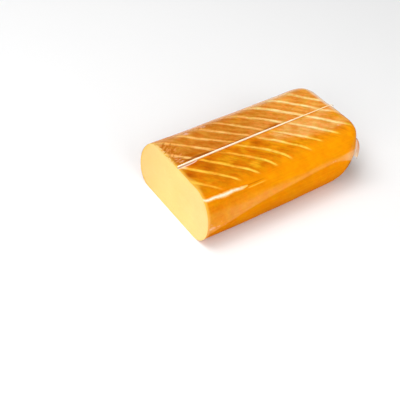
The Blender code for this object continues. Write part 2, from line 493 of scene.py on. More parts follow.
# The crease drops fast from the cut and climbs slowly, with small sine waves
def creaseOffset(x, s):
    start, climb = cling["creaseLine"]
    drop, dropLength = cling["creaseDrop"]
    ripple, rippleLength, phase = cling["creaseRipple"]
    line = start + climb * x - drop * np.exp(-x / dropLength) + ripple * np.sin(x / rippleLength + phase)
    middle, reach, more = cling["creaseSwell"]
    return foldOffset("crease", x, s - line, 1 + more * np.exp(-(((x - middle) / reach) ** 2)))


# The tuck runs beside the weld and closes in on it with the fifth power
def tuckOffset(x, s):
    start, closing = cling["tuckLine"]
    line = start - closing * np.clip(x / cling["tuck"][1], 0, 1) ** 5
    return foldOffset("tuck", x, s - line)


# Sine waves of seeded lengths, headings and phases over the skin, faded out under the base
def filmWaves():
    total = np.zeros_like(across)
    for index in range(cling["waves"]):
        length = dice.uniform(*cling["waveLengths"])
        heading = dice.uniform(-cling["waveTurn"], cling["waveTurn"]) + pi / 2
        phase = dice.uniform(0, 2 * pi)
        run = skinAlong * cos(heading) + skinAround * sin(heading)
        total += np.sin(2 * pi * run / length + phase)
    return cling["waveHeight"] * total * np.clip(height / cling["waveFoot"], 0, 1)


crease = creaseOffset(skinX, skinS)
tuck = tuckOffset(skinX, skinS)
relief = markRelief + filmWaves()
for fold, offset in (("crease", crease), ("tuck", tuck)):
    end, lowering, tall = cling[fold][1], *cling[fold][3:]
    relief += tall * np.exp(-(offset**2)) * eased(skinX, end, end - lowering)
relief += patches(skinX, skinS, cling["fullness"]) * mm
roundward = np.roll(plain, -1, 1) - np.roll(plain, 1, 1)
lengthward = np.gradient(plain, axis=0)
outward = np.cross(roundward, lengthward)
outward /= np.linalg.norm(outward, axis=-1, keepdims=True)
skin = plain + shift + outward * relief[..., None]
skin = np.clip(skin, np.array(low), np.array(high))
print("skin relief up to", (relief.max() / mm).round(2), "mm")


# Relief of the two end faces
faces = dict(
    bend=(3 * mm, 21 * mm),  # of the knife's ripples, and over what width
    ripples=((0.03 * mm, 1.9 * mm), (0.1 * mm, 7.3 * mm, 33 * mm)),  # height, length, slant's width
    puckers=(0.22 * mm, 17, 45 * mm, 18 * mm),  # height, number, point they fan from, growth
    curl=(2, 9 * mm),  # of the puckers, and over what length
)


# Rings that shrink the rim towards its middle and lean as the loaf's end does, with a small
# relief, nothing at the rim
def faceRings(rim, count, station, bulge):
    middle = (rim.max(0) + rim.min(0)) / 2
    share = 1 - (np.arange(1, count + 1)[:, None] / (count + 1)) ** loaf["ringCrowding"]
    y = middle[1] + (rim[:, 1] - middle[1]) * share
    z = middle[2] + (rim[:, 2] - middle[2]) * share
    rings = leaned(np.full_like(y, station), y - shift[1], z) + shift
    rings[..., 0] += bulge(y, z) * np.minimum(1, (1 - share) * loaf["reliefGrowth"])
    return rings, share


# Shallow ripples left by the knife: sines of the height that bend with the width
def knifeRipple(y, z):
    bend, width = faces["bend"]
    bent = z + bend * np.sin(y / width)
    (fine, fineLength), (broad, broadLength, slant) = faces["ripples"]
    return fine * np.sin(bent / fineLength) + broad * np.sin(bent / broadLength + y / slant)


# Film puckers on the wrapped end: a sine of the angle round a point, curling with distance
def endPucker(y, z):
    tall, count, point, growth = faces["puckers"]
    curl, length = faces["curl"]
    away = np.hypot(y, z - point)
    wave = np.sin(np.arctan2(y, z - point) * count + curl * np.sin(away / length))
    return tall * wave * np.clip(away / growth, 0, 1)


# Raised weld of the film along the top
weld = dict(
    offset=-1.2 * mm,  # from the middle of the top
    bow=1.3 * mm,
    drift=1.8 * mm,
    heightAtCut=2.2 * mm,
    heightAtEnd=1.3 * mm,
    lowerAtCut=0.7 * mm,  # how much less it is at the very cut
    lowerReach=14 * mm,
    lean=radians(28),
    inset=0.6 * mm,
    foot=47 * mm,  # height at which it stops on the wrapped end
    thickness=0.5 * mm,
    gap=0.3 * mm,
    stations=260,
    turnSteps=14,
    dropSteps=7,
    rows=8,
    flutter=0.10 * mm,
    flutterLengths=(3.1 * mm, 11 * mm),
    sheet=0.35 * mm,
    colour=(255, 246, 226),
    foldColour=(255, 236, 198),
    footShadeColour=(232, 184, 132),
    farColour=(255, 222, 160),
    # a painted glow: emission that stands in for light the film carries through
    glow=0.14,  # light that the film carries through
)


# Sideways place of the weld's foot: a half sine bow less a cubic drift
def weldAcross(share):
    return weld["offset"] + weld["bow"] * np.sin(pi * share) - weld["drift"] * share**3


# The same in mm round the skin, which runs the other way
def weldLineAt(x):
    return -weldAcross(np.clip(x * mm / loaf["length"], 0, 1)) / mm


# Where the smoke took darker and lighter; where the film is hazy with a painted sheen, has painted glints,
# or is puckered; and the painted shadow beside the weld: rows of centre along and round, reach along and
# round, and strength, in mm
tones = dict(
    smoke=(
        (28, 14, 10, 9, 0.9), (4, 15, 9, 6, 0.9), (68, 10, 9, 7, 0.8), (92, 9, 8, 7, 1),
        (28, -9, 15, 4, 0.9), (75, -17, 10, 7, 0.5), (88, -33, 9, 7, 0.1), (127, -6, 11, 3, 0.55),
        (183, -33, 6, 8, 0.5), (106, -16, 15, 10, 0.4), (36, 31, 9, 3, 0.05), (100, 20, 7, 4, 0.5),
        # the row at 186 along and 84 round is painted shade low in the far end's corner
        (20, -33, 16, 7, 0.3), (186, 84, 7, 10, 1), (8, 32, 6, 5, 0.4), (124, 38, 10, 4, 0.15),
        (52, 34, 5, 9, 0.4), (15, 58, 8, 4, 0.2), (24, 5, 15, 3, 0.7), (12, 16, 9, 7, 0.4),
        (30, 20, 8, 5, 0.4), (17, -10, 9, 4, 1), (9, -20, 5, 8, 0.4), (35, 5, 6, 3, 0.5),
        (155, -16, 8, 6, 0.7)),
    gold=(
        (51, 19, 9, 7, 1.3), (99, 28, 12, 5, 0.7), (41, 12, 5, 6, 0.7), (33, 29, 7, 4, 0.8),
        (76, 13, 7, 8, 0.4), (10, 36, 8, 3, 0.5), (82, 6, 4, 4, 0.6), (38, -33, 6, 5, 0.5),
        (150, -22, 14, 8, 0.4), (182, -20, 8, 8, 0.4), (122, 28, 8, 4, 0.7), (148, 29, 9, 5, 0.5),
        (168, 37, 8, 4, 0.6), (80, 36, 6, 5, 0.5), (110, 12, 6, 5, 0.5), (95, -41, 6, 4, 0.4),
        (194, 18, 4, 7, 0.5), (72, 36, 11, 6, 1.1), (104, -34, 16, 6, 0.8), (65, -11, 8, 4, 0.7),
        (3, 28, 4, 7, 0.9), (50, 20, 6, 4, 0.5), (183, -34, 12, 8, 0.5), (170, -18, 8, 6, 0.6),
        (14, 37, 6, 3, 0.5), (110, 43, 8, 4, 0.5), (62, -10, 6, 4, 0.4)),
    hazeAndSheen=(
        (103, 4, 7, 5, 0.4), (122, 12, 15, 9, 0.9), (146, 20, 13, 11, 0.9), (170, 12, 18, 13, 0.7),
        (172, 29, 14, 8, 0.8), (189, 30, 7, 7, 0.4), (5, 4, 6, 3, 0.7), (108, -14, 12, 9, 0.3),
        (30, -41, 34, 5, 0.5), (75, -6, 35, 4, 0.25), (4, -18, 5, 9, 0.5), (170, -8, 14, 6, 0.25),
        (95, -42, 8, 5, 0.7), (150, -44, 32, 8, 1), (140, 5, 10, 4, 1.4), (158, 4, 8, 3, 0.4),
        (186, 5, 10, 4, 0.9), (126, 26, 7, 5, 0.1), (6, 86, 10, 4, 0.8), (170, -42, 9, 4, 1.3),
        (124, -10, 8, 4, 0.4), (95, -5, 7, 4, 0.4), (108, -33, 8, 5, 0.4)),
    glint=(
        (38, -42, 4, 3, 1), (60, -43, 4, 3, 0.9), (139, -42, 3, 2.5, 0.8), (93, -40, 3, 2, 0.6),
        (135, -12, 2, 1.5, 0.5), (158, -16, 2.5, 1.5, 0.6), (5, 84, 6, 2, 0.6), (22, 85, 2.5, 1.2, 0.5),
        (12, 83.5, 5, 2, 0.45), (4, 79, 4, 4, 0.4), (16, 79, 2, 1.2, 0.4), (10, -5.2, 5, 1.6, 0.75),
        (182, 33, 4, 3, 0.6), (113, 6, 2, 2, 0.4), (163, 69, 12, 1, 0.6), (190.5, -41.5, 4.5, 2.6, 0.8),
        (182, -43.5, 5, 2, 0.5)),
    weldShadow=(
        (28, -4.2, 15, 1.8, 1), (125, -3.9, 14, 1.4, 0.6), (60, -3.6, 55, 0.9, 0.7)),
    pucker=(
        (7, -26, 9, 10, 1), (8, -12, 9, 6, 0.9), (5, -38, 8, 6, 0.8), (193, -20, 4, 30, 0.12),
        (192, 20, 4, 30, 0.12), (135, -40, 20, 6, 0.3), (60, -42, 25, 5, 0.4)),
)


# The skin's grid closed by rings and a fan at each end, with the values that its materials read
def buildLoafBody():
    stations, columns = across.shape
    cutRings, cutShare = faceRings(skin[0], loaf["cutRings"], 0, knifeRipple)
    endRings, endShare = faceRings(skin[-1], loaf["endRings"], loaf["length"], endPucker)
    points = [skin, cutRings, endRings, cutRings[-1].mean(0), endRings[-1].mean(0)]
    points = np.vstack([part.reshape(-1, 3) for part in points])
    cutStart = stations * columns
    endStart = cutStart + loaf["cutRings"] * columns
    cutPole = endStart + loaf["endRings"] * columns
    endPole = cutPole + 1
    column = np.arange(columns)
    following = (column + 1) % columns

    # quads between rows of vertices, each given by the index of its first
    def strip(first, second):
        first, second = first[:, None], second[:, None]
        quad = np.stack([first + column, first + following, second + following, second + column], -1)
        return quad.reshape(-1, 4)

    rows = np.arange(stations) * columns
    cutRows = np.hstack([[0], cutStart + np.arange(loaf["cutRings"]) * columns])
    endRows = np.hstack([[rows[-1]], endStart + np.arange(loaf["endRings"]) * columns])
    quads = [strip(rows[:-1], rows[1:]),
             strip(cutRows[1:], cutRows[:-1]),
             strip(endRows[:-1], endRows[1:])]
    cutFan = np.stack([np.full(columns, cutPole), cutRows[-1] + following, cutRows[-1] + column], -1)
    endFan = np.stack([endRows[-1] + column, endRows[-1] + following, np.full(columns, endPole)], -1)
    triangles = np.vstack([cutFan, endFan])

    # corner coordinates: along and round the skin, running on over both end faces
    left = np.hstack([around[:, :-1], -around[:, :0:-1]])
    right = np.hstack([around[:, 1:], -around[:, -2::-1]])

    def cornerUv(first, second, chosen):
        a, b, l, r = np.broadcast_arrays(first, second, left[chosen], right[chosen])
        return np.stack([a, l, a, r, b, r, b, l], -1).reshape(-1, 2)

    runOn = loaf["skinRunOn"]
    reach = loaf["length"] + (1 - np.vstack([[1], endShare])) * runOn
    depth = (np.vstack([[1], cutShare]) - 1) * runOn
    fanUv = np.zeros((len(triangles) * 3, 2))
    fanUv[:, 0] = np.repeat([-runOn, loaf["length"] + runOn], columns * 3)
    uv = np.vstack([cornerUv(along[:-1], along[1:], slice(None, -1)),
                    cornerUv(depth[1:], depth[:-1], slice(0, 1)),
                    cornerUv(reach[:-1], reach[1:], slice(-1, None)), fanUv])

    # the skin's values, none over the cut face, and the rim's own over the wrapped end's
    def spread(values):
        onCut = np.zeros(loaf["cutRings"] * columns)
        onEnd = np.tile(values[-1], loaf["endRings"])
        return np.hstack([values.ravel(), onCut, onEnd, [0, values[-1].mean()]])

    rim = spread(np.zeros_like(skinX))  # mm from the cut's edge, on its face
    rim[cutStart:endStart] = np.linalg.norm(cutRings - skin[:1], axis=-1).ravel() / mm
    rim[cutPole] = farOff
    attributes = dict(
        markPlace=spread(markPlace),
        markStrength=spread(markStrength * eased(skinX, *marks["endFade"])),
        crease=spread(crease),
        tuck=spread(tuck),
        weldAway=spread(skinS - weldLineAt(skinX)),
        rim=rim,
    )
    for name, spots in tones.items():
        attributes[name] = spread(patches(skinX, skinS, spots))
    kinds = np.repeat([0, 1, 0, 1, 0], [*map(len, quads), columns, columns])
    piece = newPiece("loafBody", points, np.vstack(quads), triangles, uv, attributes, kinds)
    piece.data.set_sharp_from_angle(angle=loaf["sharpAngle"])
    return piece


loafBody = buildLoafBody()
print("loaf body:", len(loafBody.data.polygons), "faces")


# Smoked rind as it shows through its film
rind = dict(
    # near the cut, further along, and the stretch in mm where one turns to the other
    # behind the weld the colours carry a painted pinkish sheen of the film
    rear=((212, 128, 36), (237, 153, 58), 88, 165),  # behind the weld
    front=((221, 129, 6), (238, 146, 8), 45, 150),
    side=((232, 136, 3), (252, 155, 2), 20, 110),
    # a painted reflection of the floor in the film
    reflectedBand=((243, 154, 32), (252, 164, 34), 40, 170),  # long and pale, low on the side
    markRear=((253, 189, 102), (255, 213, 136), 100, 140),
    markFront=((255, 182, 56), (255, 196, 82), 50, 110),
    reflectedBandEnd=(252, 184, 112),
    foot=(236, 141, 2),  # below the band
    # painted shade, deeper towards the base
    footShade=(214, 122, 4),
    smoke=(196, 98, 2),
    gold=(243, 170, 24),
    # whitish haze of the film with a painted sheen
    hazeAndSheen=(242, 168, 84),
    # painted glints of the film
    glint=(250, 198, 168),
    # painted shade in the puckers' troughs, and painted highlights on their crests
    pucker=(190, 100, 22),
    puckerCrestHighlight=(244, 164, 90),
    markTip=(255, 207, 74),
    markHazeAndSheen=(255, 221, 152),
    # whitish film of the crease with its painted highlight
    fold=(255, 236, 208),
    creaseWhiteAndShineDim=(255, 222, 164),
    creaseWhiteAndShineEdge=(255, 198, 112),
    edge=(255, 203, 80),  # light through the cheese at the cut
    # a painted highlight low on the side at the cut
    edgeLow=(253, 190, 104),
    ragged=(255, 216, 142),  # where the cut tore into the rind behind the weld
    # painted reflections along the far edge and round the wrapped end's rim
    farRimSheen=(248, 192, 140),
    endRimHighlight=(252, 221, 188),
    # painted shadow beside the weld and under the tuck, and a painted highlight along the tuck
    weldShadow=(152, 74, 14),
    tuck=(252, 222, 204),
    underTuckShadow=(196, 160, 140),
    # mm round: where the band comes in; its foot, how much lower at the cut, reach of that
    bandTop=(64.3, 66.9),
    bandFoot=(68, 24.5, 64),
    # length, width and heading of its streaked patterns
    streak=(18 * mm, 4.8 * mm, radians(47)),  # along the marks
    smear=(7 * mm, 2.2 * mm, radians(47)),
    drawn=(45 * mm, 2.4 * mm),
    puckersAway=(7 * mm, 2.4 * mm, radians(-43)),  # away from the weld
    puckersBeside=(7 * mm, 2 * mm, radians(8)),
    dull=(0.86, 0.70, 0.34),  # factors that its mottling runs between
    bright=(1.11, 1.27, 1.62),
    ruddy=(1.03, 0.87, 0.8),
    olive=(0.97, 1.11, 1.1),
    brightness=0.94,
    coat=0.7,
    coatRoughness=0.14,
)


# Colours laid over each other through masks of x mm along the loaf and s mm round it
def rindMaterial():
    material, graph = newMaterial("smokedRindUnderFilm")
    place = graph.objectPlace()
    x, s = [part / mm for part in graph.parts(graph.skinPlace())[:2]]
    cloud = graph.noise(place, 55, 3)
    fine = graph.noise(place, 330, 3, 0.6)
    blot = graph.noise(place, 150, 2)
    streak = graph.streaks(*rind["streak"])
    smear = graph.streaks(*rind["smear"])
    drawn = graph.streaks(*rind["drawn"])
    wander = (cloud - 0.5) * 9

    # a colour of the rind that turns to another along the loaf
    def turning(name, where=x):
        nearCut, further, start, stop = rind[name]
        return graph.blend(where.rise(start, stop), nearCut, further)

    # broad zones: behind the weld, in front of it, round the side
    side = abs(s)
    front = s.rise(-2, 1.5)
    strayed = x + wander
    colour = graph.blend(front, turning("rear", strayed), turning("front", strayed))
    colour = graph.blend((side + wander).rise(38, 55), colour, turning("side", strayed))

    # blotches of smoke and gold, haze of film that stands off with a painted sheen, and a painted
    # reflection along the far edge
    patchy = 0.55 + cloud * 0.5 + (streak - 0.5) * 0.9
    smoke = graph.attribute("smoke") * patchy * 1.15 + (0.42 - cloud) * 0.9
    gold = graph.attribute("gold") * patchy + (cloud - 0.62) * 1.2
    hazeAndSheen = (graph.attribute("hazeAndSheen") * (0.3 + streak * 0.7 + smear * 0.7)).rise(0.05, 0.9)
    farRimSheen = (-s).rise(37, 46) * s.rise(-60, -50)
    farRimSheen = farRimSheen * (0.25 + x.rise(95, 150) * 0.5) * (0.4 + blot * 1.2)
    colour = graph.layered(
        colour,
        (smoke.rise(0, 1.15), rind["smoke"]),
        (gold.rise(0.05, 1.1) * 0.8, rind["gold"]),
        (hazeAndSheen * 0.9, rind["hazeAndSheen"]),
        (farRimSheen, rind["farRimSheen"]))

    # long band low on the side, a painted reflection of the floor, its foot lifting away from the cut and
    # sinking at the end; below it, painted shade that deepens towards the base and in the far corner
    nearCut = x.fall(30, 85)
    comesIn, isFull = rind["bandTop"]
    bandTop = side + wander * 0.12 - x.bell(157, 30) * 2.1
    bandTop = bandTop.rise(comesIn - nearCut * 7, isFull + nearCut * 2.5)
    level, lower, reach = rind["bandFoot"]
    lowerEdge = level + lower * (x / -reach).power() + x.rise(156, 240) * 27
    below = (side + wander * 0.1 - lowerEdge).rise(-0.9, 0.9)
    foot = graph.blend(side.rise(78, 97), rind["foot"], rind["footShade"])
    foot = graph.blend(x.rise(105, 165), foot, graph.scaled(foot, 1.14))
    reflectedBand = graph.blend(x.rise(164, 192), turning("reflectedBand"), rind["reflectedBandEnd"])
    colour = graph.layered(
        colour,
        (bandTop * (0.6 + x.rise(150, 190) * 0.4), reflectedBand),
        (below, foot),
        (graph.attribute("smoke").rise(0.2, 1.4) * below, rind["smoke"]))

    # marks of the rack
    away = abs((graph.attribute("markPlace") + 0.5).maths("FRACT") - 0.5) * marks["apart"]
    edge = marks["paleHalfWidth"] - front * 0.3 + (fine - 0.5) * 0.5
    edge = edge * (1 - s.rise(28, 46) * 0.3)
    mark = (away / edge).fall(0.2, 1.1) * graph.attribute("markStrength") * (0.85 + cloud * 0.35)
    frontMark = graph.layered(
        turning("markFront"),
        (s.rise(22, 40) * x.rise(20, 80), rind["markTip"]),
        (hazeAndSheen, rind["markHazeAndSheen"]))
    colour = graph.blend(mark, colour, graph.blend(front, turning("markRear"), frontMark))

    # mottling, calmer round the side, and fine drawn lines of the film
    onSide = side.rise(34, 52)
    calm = 1 - onSide * (0.2 + x.rise(25, 60) * 0.3)
    brushed = ((streak - 0.5) * 2.4 + (smear - 0.5) * 1.5) * (1 - onSide * 0.85 - hazeAndSheen * 0.4)
    uneven = brushed + ((cloud - 0.5) * 1.3 + (fine - 0.5) * 0.8) * calm + (drawn - 0.5) * onSide * 0.5
    colour = graph.tinted(colour, 0.5 + uneven, rind["dull"], rind["bright"])
    warmth = (blot - 0.5) * 2.4 + (0.5 - smear) * (2.6 - onSide * 2.2)
    colour = graph.tinted(colour, 0.5 + warmth * calm, rind["ruddy"], rind["olive"])
    colour = graph.scaled(colour, 0.98 + drawn * 0.04)

    # painted highlight on the rim where the film turns down over the wrapped end, and even rind past it
    endRimHighlight = x.rise(191, 195.5) * x.fall(197.5, 200) * (1 - s.rise(-3, 24) * 0.8)
    endRimHighlight = endRimHighlight * s.fall(20, 44) * s.rise(-57, -48)

    # puckers where the film is slack, painted with highlights on their crests and shade in their troughs,
    # and painted glints of the film
    downward = graph.streaks(*rind["puckersAway"], roughness=0.55, distortion=0.4)
    lengthwise = graph.streaks(*rind["puckersBeside"], roughness=0.55, distortion=0.4)
    beside = s.rise(-17, -12)
    wrinkle = downward + beside * (lengthwise - downward)
    pucker = (wrinkle - 0.53) * 10 * graph.attribute("pucker")
    crestHighlight = graph.blend(beside, rind["puckerCrestHighlight"], rind["glint"])
    glint = (graph.attribute("glint") * (fine * 1.6 - 0.15)).rise(0.2, 0.7)

    # painted light through the cheese's edge at the cut, with a painted highlight low on the side, and rind
    # torn there
    edgeGlow = x.fall(0.3, 4.3 + s.bell(29, 8) * 4) * (0.45 + blot * 0.5)
    edgeLightColour = graph.blend(side.rise(60, 84), rind["edge"], rind["edgeLow"])
    ragged = (x - (fine - 0.42) * 16).fall(-0.5, 0.9)
    ragged = ragged * s.rise(-46, -38) * s.fall(-9, -4)

    # the weld's far side with a painted shadow, and the tuck beside it: painted shadow under it and a
    # painted highlight along its fold
    weldAway = graph.attribute("weldAway")
    shade = (graph.attribute("weldShadow") * (0.1 + blot * 1.7)).rise(0.1, 0.9) * (1 - front)
    between = weldAway.rise(-0.6, 0) * weldAway.fall(1.2, 2.2) * x.fall(12, 24)
    tuckHighlight = abs(graph.attribute("tuck")).fall(0.4, 1.2) * x.fall(22, 26)

    # the crease, whitish film painted with a highlight along it, and the thin pale and dark lines that run
    # on from it
    crease = abs(graph.attribute("crease") + (smear - 0.5) * 0.9 + (fine - 0.5) * 0.7)
    creased = x.fall(cling["crease"][1] - 1.5, cling["crease"][1])
    creaseWhiteAndShine = graph.blend(fine.rise(0.3, 0.52), rind["creaseWhiteAndShineDim"], rind["fold"])
    creaseWhiteAndShine = graph.blend(x.rise(38, 50), creaseWhiteAndShine, rind["markTip"])
    after = x.rise(49, 54) * x.fall(66, 76)
    colour = graph.layered(
        colour,
        (endRimHighlight * (0.5 + streak * 0.8), rind["endRimHighlight"]),
        (x.rise(199, 203.5) * 0.65, rind["front"][1]),
        (pucker.rise(0.1, 0.9) * 0.5, crestHighlight),
        ((-pucker).rise(0, 0.9) * 0.6, rind["pucker"]),
        (glint * 0.9, rind["glint"]),
        (edgeGlow, edgeLightColour),
        (ragged * 0.85, rind["ragged"]),
        (shade * 0.8, rind["weldShadow"]),
        (between * 0.8, rind["underTuckShadow"]),
        (tuckHighlight * 0.8, rind["tuck"]),
        (crease.fall(1, 2.3) * creased * 0.85, rind["creaseWhiteAndShineEdge"]),
        (crease.fall(0.4, 1.3) * creased, creaseWhiteAndShine),
        (s.bell(57, 0.55) * after * 0.6, rind["markTip"]),
        (s.bell(54.4, 0.5) * after * 0.7, rind["smoke"]))

    grain = graph.noise(place, 900, 2)
    relief = grain * 0.35 + cloud + streak * graph.attribute("hazeAndSheen") * 0.8 + pucker * 0.8 + drawn * 0.3
    gloss = 1 - onSide * (x.rise(182, 192) * 0.7 + 0.6 - x.rise(16, 34) * 0.6)
    graph.principled({
        "Base Color": graph.scaled(colour, rind["brightness"]),
        "Roughness": 0.45 + fine * 0.12,
        "Normal": graph.bump(relief, 0.0004, 0.3),
        "Specular IOR Level": 0,
        "Coat Weight": rind["coat"] * (1 - below * 0.95) * gloss,
        "Coat Roughness": rind["coatRoughness"],
    })
    return material


# Cut face of the cheese
paste = dict(
    body=(255, 222, 136),
    pale=(255, 222, 146),
    warm=(255, 210, 126),
    rim=(254, 200, 76),
    # the rind's thin edge, darkened by painted shade
    rind=(196, 152, 96),  # thin line round its far side
    low=(0.90, 0.86, 0.76),  # factors that its mottling runs between
    high=(0.97, 0.98, 1),
    dragSquash=(1, 1, 14),  # draws the knife's drag out sideways
    depth=4 * mm,  # of the light under its surface
)


# Warmer towards the far side, with a deeper rim there, fine grain, drag lines and small pits
def pasteMaterial():
    material, graph = newMaterial("cutCheese")
    place = graph.objectPlace()
    y, z = [part / mm for part in graph.parts(place)[1:]]
    cloud = graph.noise(place, 38, 3)
    fine = graph.noise(place, 650, 3, 0.65)
    squashed = graph.node("Mapping", {}, {"Vector": place, "Scale": paste["dragSquash"]})
    drag = graph.noise(squashed, 90, 2)
    sideways = y + (cloud - 0.5) * 50
    rimAway = graph.attribute("rim") + (graph.noise(place, 150, 3) - 0.5) * 5
    farSide = y.rise(12, 45) * (1 - z.rise(44, 53) * 0.85)
    colour = graph.blend(sideways.rise(5, 62), paste["body"], paste["warm"])
    colour = graph.blend((-sideways).rise(5, 60) * 0.7, colour, paste["pale"])
    colour = graph.blend(rimAway.fall(-0.6, 5) * (0.25 + farSide * 0.6), colour, paste["rim"])
    grainy = 0.5 + (fine - 0.5) * 1.6 + (cloud - 0.5) * 1.2 + (drag - 0.5) * 0.8
    colour = graph.tinted(colour, grainy, paste["low"], paste["high"])
    colour = graph.blend(graph.attribute("rim").fall(0.35, 0.8) * farSide, colour, paste["rind"])
    pits = graph.node("TexVoronoi", {}, {"Vector": place, "Scale": 260})
    pit = pits.fall(0, 0.22)
    graph.principled({
        "Base Color": colour,
        "Roughness": 0.38 + fine * 0.2,
        "Normal": graph.bump(drag * 0.6 + fine * 0.35 - pit * 0.5, 0.0003, 0.35),
        "Specular IOR Level": 0.35,
        "Subsurface Weight": 0.2,
        "Subsurface Radius": (1, 0.6, 0.25),
        "Subsurface Scale": paste["depth"],
    })
    return material


loafBody.data.materials.append(rindMaterial())
loafBody.data.materials.append(pasteMaterial())
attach(loafBody, "root")
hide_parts("cheese_loaf")
print("rind and cut face finished")


# Height of the crowned top, lowered by the wrapped end's rounding
def topAt(along, across):
    share = along / loaf["length"]
    high = heightAt(share)
    flatTop = loaf["topFlat"] * widthAt(share) / 2
    crown = loaf["topCrown"] * (1 - (across / flatTop) ** 2)
    top = drawnIn(along, loaf["roundTop"])
    base = drawnIn(along, loaf["roundBase"])
    return base + (high + crown) * (high - top - base) / high


# A fin carried along a spine over the top and round the end's edge; each row is a share of its
# height, leaning away from the near side, with a small sine flutter towards its edge
def weldRows():
    straight = loaf["length"] - loaf["roundTop"]
    run = np.linspace(weld["inset"], straight, weld["stations"])
    turn = np.linspace(0, pi / 2, weld["turnSteps"] + 1)[1:]
    spineAlong = np.hstack([run, straight + loaf["roundTop"] * np.sin(turn)])
    spineHeight = topAt(spineAlong, weld["offset"])
    drop = np.linspace(spineHeight[-1], weld["foot"], weld["dropSteps"] + 1)[1:]
    turns = np.hstack([np.zeros(weld["stations"]), turn, np.full(len(drop), pi / 2)])
    spineAlong = np.hstack([spineAlong, np.full(len(drop), loaf["length"])])
    spineHeight = np.hstack([spineHeight, drop])
    share = spineAlong / loaf["length"]
    tall = weld["heightAtCut"] + (weld["heightAtEnd"] - weld["heightAtCut"]) * share
    tall -= weld["lowerAtCut"] * np.exp(-spineAlong / weld["lowerReach"])
    length = np.hstack([[0], np.cumsum(np.hypot(np.diff(spineAlong), np.diff(spineHeight)))])
    short, long = weld["flutterLengths"]
    flutter = np.sin(length / short + 2 * np.sin(length / long)) * weld["flutter"]
    up = np.linspace(0, 1, weld["rows"])
    clear = weld["gap"] + weld["thickness"] / 2 * sin(weld["lean"])
    reach = clear + tall[:, None] * up * cos(weld["lean"])
    a = spineAlong[:, None] + reach * np.sin(turns)[:, None]
    z = spineHeight[:, None] + reach * np.cos(turns)[:, None]
    lean = tall[:, None] * up * sin(weld["lean"])
    y = weldAcross(share)[:, None] + lean + flutter[:, None] * up**2
    return leaned(a, y, z) + shift, length[:, None], up


# A sheet of rows and columns of points as one piece with its thickness
def filmSheet(name, grid, thickness, uvAlong, uvAcross):
    inset = thickness / 2
    grid = np.clip(grid, np.array(cadBox[0]) + inset, np.array(cadBox[1]) - inset)
    rows, columns = grid.shape[:2]
    index = np.arange(rows * columns).reshape(rows, columns)
    quads = np.stack([index[:-1, :-1], index[:-1, 1:], index[1:, 1:], index[1:, :-1]], -1).reshape(-1, 4)
    u = np.broadcast_to(uvAlong, (rows, columns))
    v = np.broadcast_to(uvAcross, (rows, columns))
    corners = np.stack([u, v], -1).reshape(-1, 2)[quads.ravel()]
    piece = newPiece(name, grid.reshape(-1, 3), quads, uv=corners)
    thicken = piece.modifiers.new("film thickness", "SOLIDIFY")
    thicken.thickness = thickness
    thicken.offset = 0
    return piece


# The weld's film: brightest towards its edge, with painted shade at its foot and a painted glow from
# emission, thinner and warmer along its far stretch
def weldMaterial():
    material, graph = newMaterial("weldedFilm")
    alongWeld, up = graph.parts(graph.skinPlace())[:2]
    x = alongWeld / mm
    streak = graph.streaks(9 * mm, 0.5, detail=3, roughness=0.6)
    far = (x + (streak - 0.5) * 40).rise(105, 185)
    foot = up.fall(0.15, 0.55)
    colour = graph.blend(streak.rise(0.35, 0.65) * 0.6, weld["colour"], weld["foldColour"])
    colour = graph.blend(far * 0.8, colour, weld["farColour"])
    colour = graph.blend(foot * (0.75 - far * 0.3), colour, weld["footShadeColour"])
    graph.principled({
        "Base Color": colour,
        "Roughness": 0.25 + streak * 0.15,
        "Normal": graph.bump(streak, 0.0003, 0.4),
        "Alpha": 1 - foot * (0.25 + far * 0.5) - far * 0.2 - x.rise(194, 202) * 0.7,
        "Emission Color": colour,
        "Emission Strength": weld["glow"],
        "Coat Weight": 0.4,
        "Coat Roughness": 0.1,
    })
    return material


weldGrid, weldLength, weldUp = weldRows()
filmSeam = filmSheet("filmSeam", weldGrid, weld["sheet"], weldLength, weldUp)
filmSeam.data.materials.append(weldMaterial())
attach(filmSeam, "root")
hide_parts("film_seam")
print("film weld:", weldGrid.shape[:2])


# Loose film folded down over the wrapped end
flap = dict(
    top=45 * mm,
    foot=21 * mm,
    halfWidth=48 * mm,
    flare=9 * mm,
    standOff=1.2 * mm,
    earStandOff=8.8 * mm,
    earCurl=0.50,
    earStart=0.7,  # below 1 it stands off sooner on the way down
    earSharpness=4,
    pleats=7,
    crowding=0.5,
    pleatDepth=0.4 * mm,
    earPleatDepth=1.2 * mm,
    hemWave=1 * mm,
    earLift=4.8 * mm,  # how much higher the ears end
    columns=300,
    rows=40,
    thickness=0.35 * mm,
    skinSize=(50 * mm, 30 * mm),  # half width and drop of its pattern's coordinates
    colour=(255, 242, 212),
    foldColour=(252, 214, 154),
    # painted shade and highlights on its ears
    earShade=(222, 142, 70),  # its ears, where they are bunched
    earShine=(251, 200, 146),
    clearness=(0.2, 0.46),
    # a painted glow: emission that stands in for light the film carries through
    glow=0.10,
)


# The wrapped end's surface behind the flap: its side's or its base's rounding, the further in
def endFaceAt(across, height):
    side = drawnBack(np.abs(across) - (loaf["endWidth"] / 2 - loaf["roundSide"]), loaf["roundSide"])
    base = drawnBack(loaf["roundBase"] - height, loaf["roundBase"])
    return leaned(loaf["length"] - np.maximum(side, base), across, height)[..., 0]


